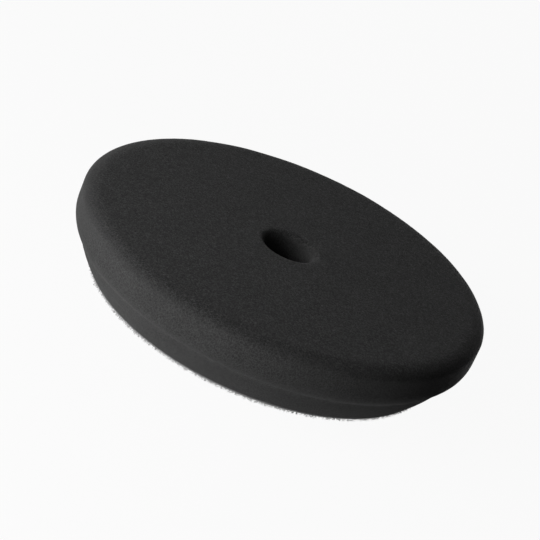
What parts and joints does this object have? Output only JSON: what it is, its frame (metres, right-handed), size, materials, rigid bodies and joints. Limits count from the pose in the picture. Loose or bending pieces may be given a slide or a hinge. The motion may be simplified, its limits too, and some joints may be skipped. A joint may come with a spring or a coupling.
{
  "type": "polishing pad",
  "caption": "Round foam finishing pad with a tapered back, a rounded centre hole and a loop-cloth backing for a hook backing plate.",
  "frame": {"origin": "centre of the loop backing's lower face, where the pad rests or meets the backing plate", "axes": "+Z along the pad's turning axis, from the loop backing to the working face; X and Y are free, because the pad is round"},
  "size_m": [0.15, 0.15, 0.027],
  "materials": {
    "foam": "open-cell polyurethane foam, matte, black",
    "bond_film": "hot-melt film, cloudy, cream",
    "ground_cloth": "fine warp-knitted nylon, light grey",
    "loops": "napped nylon loops, light grey, soft"
  },
  "bodies": {
    "root": {"foam_disc": "foam", "adhesive_film": "bond_film", "loop_ground_fabric": "ground_cloth", "loop_pile": "loops"}
  },
  "joints": []
}
